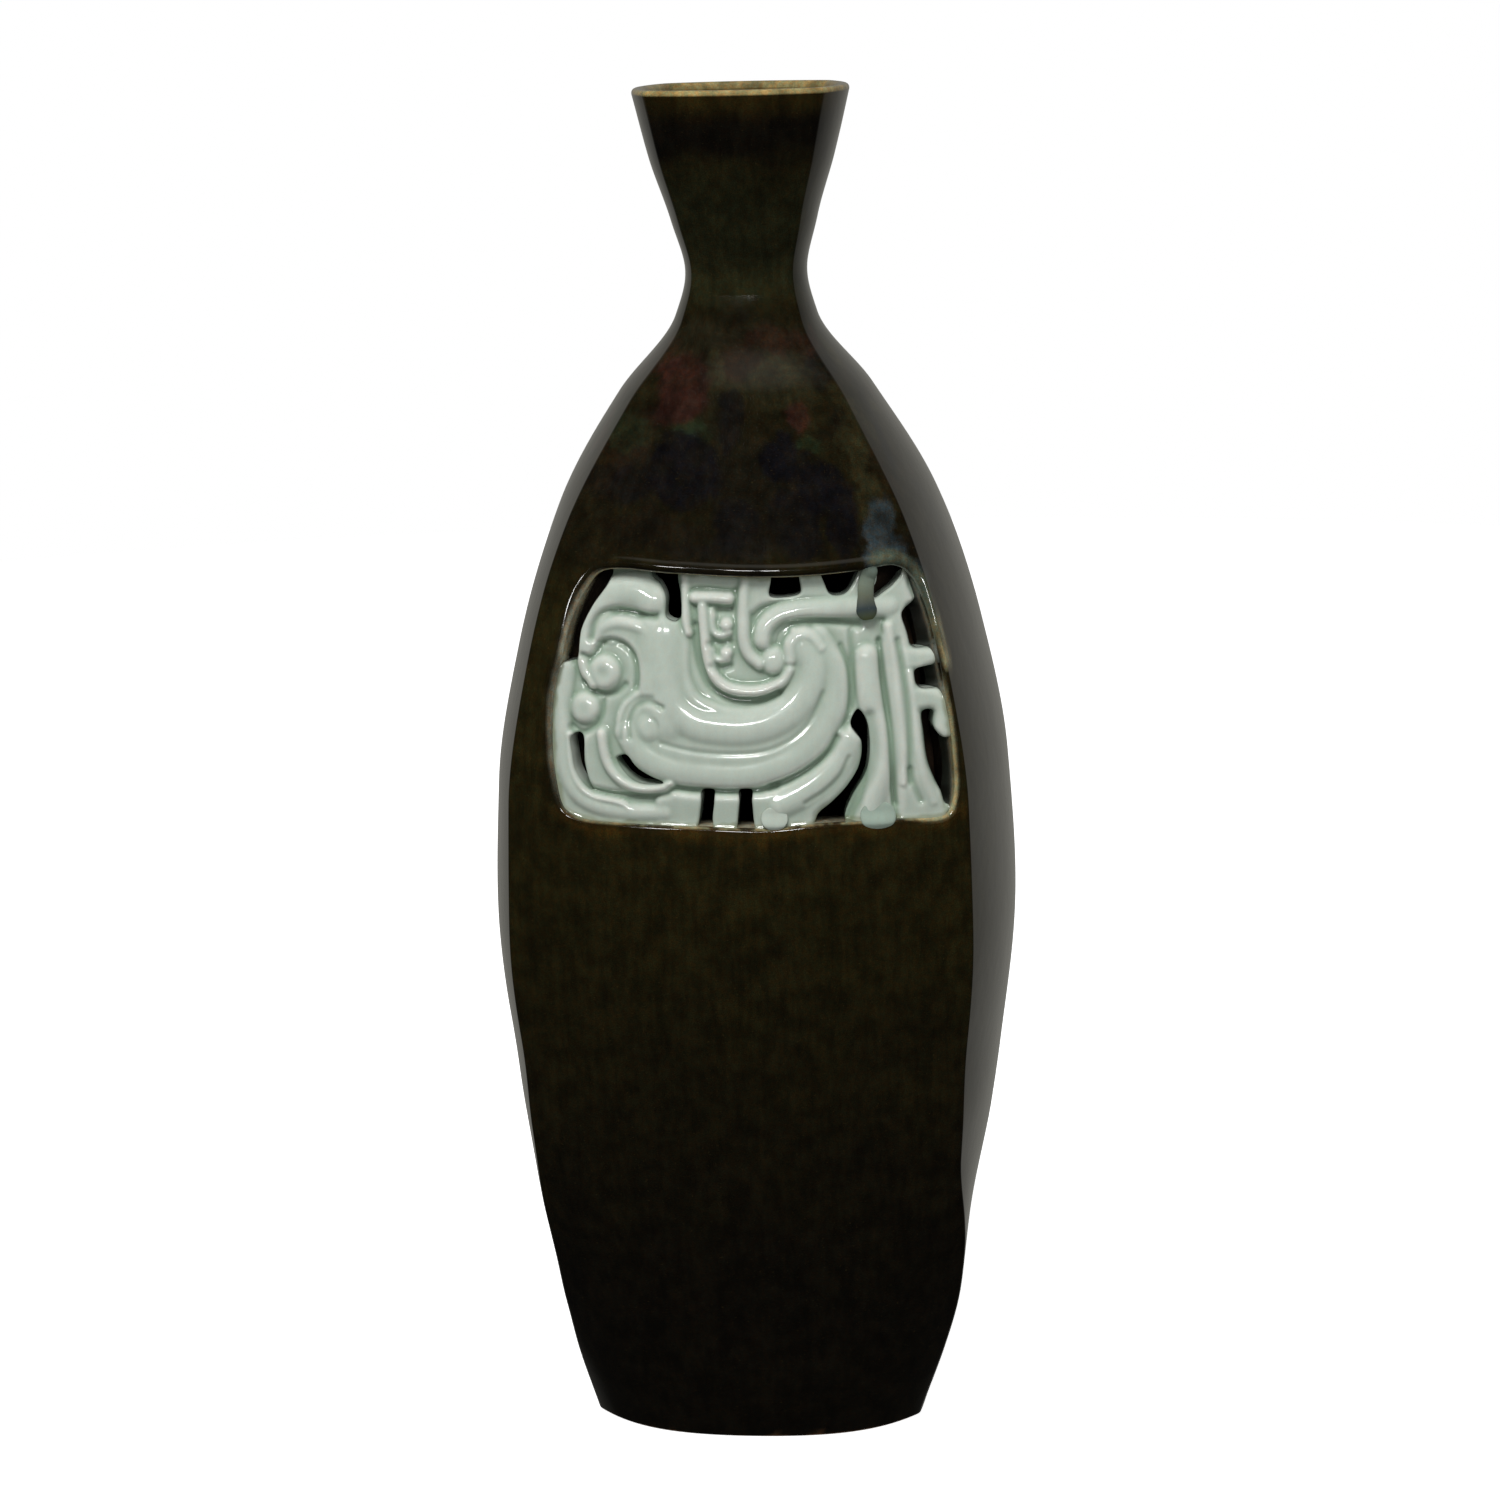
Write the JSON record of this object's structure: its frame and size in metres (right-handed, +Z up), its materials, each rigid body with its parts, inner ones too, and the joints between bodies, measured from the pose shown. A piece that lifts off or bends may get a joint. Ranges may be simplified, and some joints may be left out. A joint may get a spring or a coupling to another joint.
{
  "type": "four-sided bottle vase",
  "caption": "Tall bottle vase with four bowed faces, crisp corners, a flared neck and a pierced bird relief panel let into its front face.",
  "frame": {"origin": "middle of the underside, where the vase stands", "axes": "+Z up along the vase's axis, -Y out of the face with the pierced panel, +X to the right seen from that face"},
  "size_m": [0.1568, 0.1568, 0.4],
  "materials": {
    "dark_glaze": "thick glossy olive-black iron glaze",
    "celadon_glaze": "glossy pale celadon glaze",
    "foot_clay": "fired stoneware, glazed on its edge, bare underneath",
    "inner_clay": "thinly glazed coarse stoneware"
  },
  "bodies": {
    "root": {"base_slab": "foot_clay", "front_wall": "dark_glaze", "back_wall": "dark_glaze", "left_wall": "dark_glaze", "right_wall": "dark_glaze", "neck_collar": "dark_glaze", "openwork_panel": "celadon_glaze", "base_coil": "inner_clay", "neck_coil": "inner_clay", "coil_front_left": "inner_clay", "coil_front_right": "inner_clay", "coil_back_left": "inner_clay", "coil_back_right": "inner_clay"}
  },
  "joints": []
}
